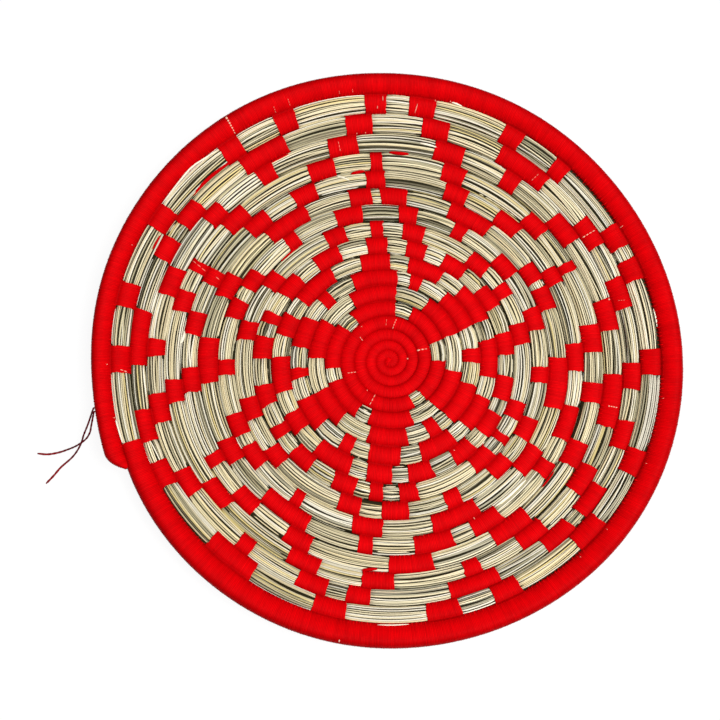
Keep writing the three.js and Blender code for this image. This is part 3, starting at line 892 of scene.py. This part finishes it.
def sew(shell, start, end, stretches, rng):
    """A bound stretch's stitches into the row inside it: in full where that row is bound too."""
    turns = even_turns(start, end, STITCH_STEP)[0][:-1]
    turns = turns + turns_of(rng.uniform(*STITCH_PLACES, len(turns)) * STITCH_STEP, turns)
    shortest = turns_of(STITCH_STEP, end)
    for low, high in stretches:
        first, last = max(start, low + 1), min(end, high + 1)
        if last - first > shortest:
            bridge(shell, first, last, rng)
            turns = turns[(turns < first) | (turns > last)]
    if len(turns) == 0:
        return
    inner = turns - 1 + turns_of(rng.normal(*STITCH_SLIP, len(turns)), turns)
    for side in (1, -1):
        angle = [side * math.radians(degrees) for degrees in STITCH_ANGLES]
        lift = rng.normal(*STITCH_LIFT, len(turns))
        knees = [
            binding_surface(turns, angle[0], 0.0),
            binding_surface(turns, angle[1], lift),
            (binding_surface(turns, angle[2], lift) + row_surface(inner, angle[3], lift)) / 2,
            row_surface(inner, angle[4], lift),
            row_surface(inner, angle[5], -STITCH_END_DEPTH),
        ]
        tints = RAFFIA_RED * rng.uniform(*STITCH_BRIGHTNESS, (len(turns), 1))
        add_threads(shell, np.stack(knees, 1), STITCH_RADIUS, STITCH_SIDES, tints)


def tie_knot(shell):
    """The small knot that fills the eye of the coil."""
    angle = np.linspace(0, FULL_TURN, KNOT_LOBES, endpoint=False)
    out = np.stack([np.cos(angle), np.sin(angle), np.zeros_like(angle)], -1)
    height = row_frame(np.array(0.0))[0][2]
    top = half_height(np.array(0.0))
    paths = [EYE + out * (KNOT_RADIUS * share) + UP * (height + top * lift) for share, lift in KNOT_ARCH]
    tints = RAFFIA_RED * np.linspace(*KNOT_SHADES, KNOT_LOBES)[:, None]
    add_threads(shell, np.stack(paths, 1), KNOT_THREAD_RADIUS, KNOT_SIDES, tints)


# Bare stretches of the coil
def lay_straw(shell, start, end, rng):
    """Stalks side by side round the bundle, swelling a little between two bindings."""
    middle = np.array((start + end) / 2)
    wide, high = half_width(middle), half_height(middle)
    count = round(outline_angles(middle, 1.0)[1] / STALK_SPACING)
    tuck = turns_of(STALK_TUCK, middle)
    turns, length = even_turns(start - tuck, end + tuck, STALK_STEP)
    share = np.linspace(0, 1, len(turns))
    kinds = rng.choice(len(STRAW_TINTS), count + 1, p=STRAW_TINT_SHARES)
    width = rng.uniform(*STALK_WIDTHS, count) * np.where(kinds[:-1] == DARK_STRAW, DARK_STALK_SHARE, 1)
    reach = np.cumsum(width + np.minimum(rng.exponential(STALK_GAP, count), WIDEST_GAP))
    place = outline_angles(middle, ((reach - width / 2) / reach[-1] + rng.random()) % 1)[0]
    half_thick = width / 2 * rng.uniform(*STALK_THICKNESS, count)
    depth = np.abs(rng.normal(0, STALK_DEPTH_SPREAD, count)) + STALK_LEAST_DEPTH
    sunken = rng.random(count) < SUNK_STALK_SHARE
    depth += np.where(sunken, rng.uniform(*SUNK_STALK_DEPTHS, count), 0)
    swell = rng.uniform(0, STALK_SWELL, count) * min(1, length / FULL_SWELL_LENGTH)
    drift = rng.normal(0, STALK_DRIFT, (count, 2))
    bow = rng.normal(0, STALK_BOW, count)
    around = place[:, None] + drift[:, :1] * (1 - share) + drift[:, 1:] * share
    around = around + bow[:, None] * np.sin(math.pi * share)
    sunk = (depth + half_thick)[:, None] - swell[:, None] * np.sin(math.pi * share)
    sunk[:, [0, -1]] += STALK_END_DEPTH
    along_turns = np.broadcast_to(turns, around.shape)
    centre = row_surface(along_turns, around, -sunk, STALK_SPREAD)
    across, normal = row_frame(along_turns)[1:]
    level, steep = facing(np.cos(around))[..., None], facing(np.sin(around))[..., None]
    out = across * level * high + normal * steep * wide
    side = normal * level * high - across * steep * wide
    out /= np.linalg.norm(out, axis=-1, keepdims=True)
    side /= np.linalg.norm(side, axis=-1, keepdims=True)
    corner = np.linspace(0, FULL_TURN, STALK_SIDES, endpoint=False)[:, None]
    spokes = out[:, :, None] * np.cos(corner) * half_thick[:, None, None, None]
    spokes = spokes + side[:, :, None] * np.sin(corner) * width[:, None, None, None] / 2
    rings = centre[:, :, None] + spokes
    tints = OWN_TINT_SHARE * STRAW_TINTS[kinds[:-1]] + (1 - OWN_TINT_SHARE) * STRAW_TINTS[kinds[-1]]
    tints = tints * rng.uniform(*STALK_BRIGHTNESS, (count, 1)) * rng.uniform(*STRETCH_BRIGHTNESS)
    # Each stalk is painted darker from its top round to its underside: a painted shade between the stalks.
    shade = STALK_PAINTED_UNDERSHADE + (1 - STALK_PAINTED_UNDERSHADE) * (0.5 + 0.5 * np.cos(corner))
    along = np.linspace(0, length, len(turns)) + rng.uniform(0, STRAW_GRAIN_SHIFT, (count, 1))
    girths = np.linspace(0, math.pi, STALK_SIDES + 1) * width[:, None]
    girths = girths + rng.uniform(0, STRAW_GIRTH_SHIFT, (count, 1))
    shell.add(rings, np.broadcast_to(tints[:, None, None] * shade, rings.shape), along, girths)


def lay_heart(shell):
    """The inside of the bundle, painted near black as shade, seen only as dark lines between the stalks and
    the rows.
    """
    turns, length = even_turns(KNOT_START, COIL_TURNS - NOSE_TURNS, HEART_STEP)
    around = np.linspace(0, FULL_TURN, HEART_SIDES, endpoint=False)
    rings = row_surface(turns[:, None], around, -HEART_DEPTH, HEART_DEPTH + HEART_PROUD)
    along = np.linspace(0, length, len(turns))
    shell.add(rings[None], np.broadcast_to(HEART_PAINTED_SHADE, rings.shape)[None], along[None],
              np.linspace(0, FULL_TURN * ROW_RADIUS, HEART_SIDES + 1)[None])


# Loose stalks, carried threads and marks
def add_strand(shell, path, radius, tint):
    """One strand along a path, thickest in the middle."""
    share = np.linspace(0, 1, len(path))
    radii = radius * (STRAND_END_SHARE + (1 - STRAND_END_SHARE) * np.sqrt(np.sin(math.pi * share)))
    rings = tube_rings(path[None], np.broadcast_to(radii[None, :, None], (1, len(path), STRAND_SIDES)))
    girth = np.linspace(0, FULL_TURN * radius, STRAND_SIDES + 1)[None]
    along = np.linspace(0, STRAND_GRAIN, len(path))[None]
    shell.add(rings, np.broadcast_to(tint, rings.shape), along, girth)


def strand_path(row, places):
    """A smooth path through places given by degrees, half widths across and half heights up."""
    degrees, sideways, up = np.array(places, float).T
    turns = seen_turns(row, degrees)
    middle, across, normal = row_frame(turns)
    points = middle + across * (sideways * half_width(turns))[:, None]
    return smooth_path(points + normal * (up * half_height(turns))[:, None], STRAND_POINTS)[0]


def add_marks(shell):
    """Dashes of pale fibre, and one painted highlight, half sunk into the raffia."""
    for row, low, inner, high, outer, dashes, first, last, pale in PALE_MARKS:
        starts = np.arange(dashes) / dashes + (1 - MARK_SHARE) / 2 / dashes
        shares = starts[:, None] + np.linspace(0, MARK_SHARE / dashes, MARK_POINTS)
        turns = seen_turns(row, low + (high - low) * shares)
        across = inner + (outer - inner) * shares
        around = np.arccos(np.sign(across) * np.abs(across) ** (1 / SECTION_POWER))
        paths = binding_surface(turns, around, MARK_LIFT)
        tint = RAFFIA_RED * (1 - pale) + PALE_FIBRE_AND_HIGHLIGHT * pale
        for dash, radius in enumerate(np.linspace(first, last, dashes)):
            add_threads(shell, paths[dash : dash + 1], radius, MARK_SIDES, tint[None])


def make_loose_bits(straw, raffia):
    """One piece of pale bits, and one of red bits with the roots of both loose ends."""
    pale = Shell()
    for row, radius, places in LOOSE_STALKS:
        add_strand(pale, strand_path(row, places), radius, STRAW_PALE)
    add_marks(pale)
    place_piece(pale.build("loose_straw", straw), "straw", "straw_coil")
    red = Shell()
    for row, radius, places in CARRIED_THREADS:
        # Carried threads are painted darker than the bands: a painted shade.
        add_strand(red, strand_path(row, places), radius, RAFFIA_RED * CARRIED_PAINTED_SHADE)
    for leaves in (TAIL_A_EXIT, TAIL_B_EXIT):
        inwards = (EYE - leaves) * (1, 1, 0)
        inwards *= ROOT_LENGTH / np.linalg.norm(inwards)
        root = leaves + inwards * np.linspace(1, 0, ROOT_POINTS)[:, None]
        add_threads(red, root[None], TAIL_DIAMETER / 2, TAIL_SIDES, TAIL_RED[None])
    place_piece(red.build("carried_raffia", raffia), "red_raffia")


# The whole coil
def bound_stretches():
    """All bound stretches in turns, from the eye to the rim's end; each band laps over its first stalks."""
    stretches = [(KNOT_START, seen_turns(FIRST_PATTERN_ROW, CENTRE_END))]
    for row, bands in RED_BANDS.items():
        for start, end in seen_turns(row, bands):
            stretches.append((start - turns_of(BAND_LEAD, start), end))
    stretches.append((seen_turns(LAST_PATTERN_ROW, RIM_BOUND_FROM), COIL_TURNS))
    return stretches


def star_nodes(star_row):
    return [f"star_point_{point}_wrap_{star_row}" for point in range(1, STAR_POINTS + 1)]


def make_coil(straw, raffia):
    stretches = bound_stretches()
    bare = [(low, high) for (_, low), (high, _) in zip(stretches, stretches[1:])]
    heart = Shell()
    lay_heart(heart)
    heart_finish = fibre_material("straw_heart", HEART_SPECULAR, STRAW_LOOK)
    place_piece(heart.build("straw_heart", heart_finish), "straw", "straw_coil")
    for row in range(FIRST_PATTERN_ROW, LAST_PATTERN_ROW + 1):
        rng = np.random.default_rng([SEED, row])
        stalks = Shell()
        for start, end in bare:
            if row <= start < row + 1:
                lay_straw(stalks, start, end, rng)
        place_piece(stalks.build(f"straw_row_{row}", straw), "straw", "straw_coil")
        binding = Shell()
        for start, end in stretches[1:-1]:
            if row <= start < row + 1:
                bind(binding, start, end, rng)
                sew(binding, start, end, stretches, rng)
        star_row = row - FIRST_PATTERN_ROW
        nodes = star_nodes(star_row) if 1 <= star_row <= STAR_ROWS else []
        place_piece(binding.build(f"binding_row_{row}", raffia), "red_raffia", *nodes)
    for name, node, (start, end), own_seed in (
        ("centre_binding", "centre_wrap", stretches[0], CENTRE_SEED),
        ("rim_binding", "rim_wrap", stretches[-1], RIM_SEED),
    ):
        rng = np.random.default_rng([SEED, own_seed])
        binding = Shell()
        bind(binding, start, end, rng)
        sew(binding, max(start, FIRST_SEWN_TURN), end - NOSE_TURNS, stretches, rng)
        if start < 0:
            tie_knot(binding)
        place_piece(binding.build(name, raffia), "red_raffia", node)


# Floor and light, in metres and watts
FLOOR_HALF = 2.0
FLOOR_WHITE = 0.9
FLOOR_ROUGHNESS = 0.9
FLOOR_GLOW = 0.92
FLOOR_LIT = 0.08
LAMP_PLACE = (0.34, -0.1, 1.08)
LAMP_SIZE = 0.4
LAMP_POWER = 16.9
AMBIENT = 0.22


def grey(level):
    return (level, level, level, 1)


def make_floor():
    """A pale floor, almost white to the camera, that keeps the dish's shadow."""
    mesh = bpy.data.meshes.new("floor")
    corners = [(x * FLOOR_HALF, y * FLOOR_HALF, 0) for x, y in ((-1, -1), (1, -1), (1, 1), (-1, 1))]
    mesh.from_pydata(corners, [], [(0, 1, 2, 3)])
    made, tree, shader = new_material("floor")
    shader.inputs["Base Color"].default_value = grey(FLOOR_WHITE)
    shader.inputs["Roughness"].default_value = FLOOR_ROUGHNESS
    path = add_node(tree, "ShaderNodeLightPath")
    glow = add_node(tree, "ShaderNodeEmission", Strength=FLOOR_GLOW)
    lit = add_node(tree, "ShaderNodeBsdfDiffuse", Color=grey(FLOOR_LIT))
    both = add_node(tree, "ShaderNodeAddShader")
    mix = add_node(tree, "ShaderNodeMixShader")
    seen = add_node(tree, "ShaderNodeMath", operation="ADD", use_clamp=True)
    seen_through = add_node(tree, "ShaderNodeMath", operation="ADD", use_clamp=True)
    tree.links.new(path.outputs["Is Camera Ray"], seen.inputs[0])
    tree.links.new(path.outputs["Is Glossy Ray"], seen.inputs[1])
    tree.links.new(seen.outputs[0], seen_through.inputs[0])
    tree.links.new(path.outputs["Is Transmission Ray"], seen_through.inputs[1])
    tree.links.new(glow.outputs[0], both.inputs[0])
    tree.links.new(lit.outputs[0], both.inputs[1])
    tree.links.new(seen_through.outputs[0], mix.inputs["Fac"])
    tree.links.new(shader.outputs[0], mix.inputs[1])
    tree.links.new(both.outputs[0], mix.inputs[2])
    tree.links.new(mix.outputs[0], tree.nodes["Material Output"].inputs["Surface"])
    mesh.materials.append(made)
    floor = add_object("floor", mesh)


def make_light():
    """One soft lamp, and an even world that the camera sees as white."""
    data = bpy.data.lights.new("key_lamp", "AREA")
    data.size = LAMP_SIZE
    data.energy = LAMP_POWER
    lamp = add_object("key_lamp", data)
    lamp.location = LAMP_PLACE
    lamp.rotation_mode = "QUATERNION"
    lamp.rotation_quaternion = (-Vector(LAMP_PLACE)).to_track_quat("-Z", "Y")
    world = bpy.data.worlds.new("studio")
    world.use_nodes = True
    tree = world.node_tree
    ambient = tree.nodes["Background"]
    ambient.inputs["Color"].default_value = grey(1)
    ambient.inputs["Strength"].default_value = AMBIENT
    white = add_node(tree, "ShaderNodeBackground", Color=grey(1), Strength=1.0)
    path = add_node(tree, "ShaderNodeLightPath")
    mix = add_node(tree, "ShaderNodeMixShader")
    tree.links.new(path.outputs["Is Camera Ray"], mix.inputs["Fac"])
    tree.links.new(ambient.outputs[0], mix.inputs[1])
    tree.links.new(white.outputs[0], mix.inputs[2])
    tree.links.new(mix.outputs[0], tree.nodes["World Output"].inputs["Surface"])
    bpy.context.scene.world = world
    bpy.context.scene.view_settings.view_transform = "Standard"


make_camera()
tail_finish = fibre_material("tail_raffia", TAIL_SPECULAR, RAFFIA_LOOK)
make_tail("raffia_end_a", "tail_strand_a", TAIL_A_EXIT, TAIL_A_ROUTE, tail_finish)
make_tail("raffia_end_b", "tail_strand_b", TAIL_B_EXIT, TAIL_B_ROUTE, tail_finish)
straw_finish = fibre_material("straw", STRAW_SPECULAR, STRAW_LOOK)
raffia_finish = fibre_material("red_raffia", RAFFIA_SPECULAR, RAFFIA_LOOK)
make_coil(straw_finish, raffia_finish)
make_loose_bits(straw_finish, raffia_finish)
make_floor()
make_light()
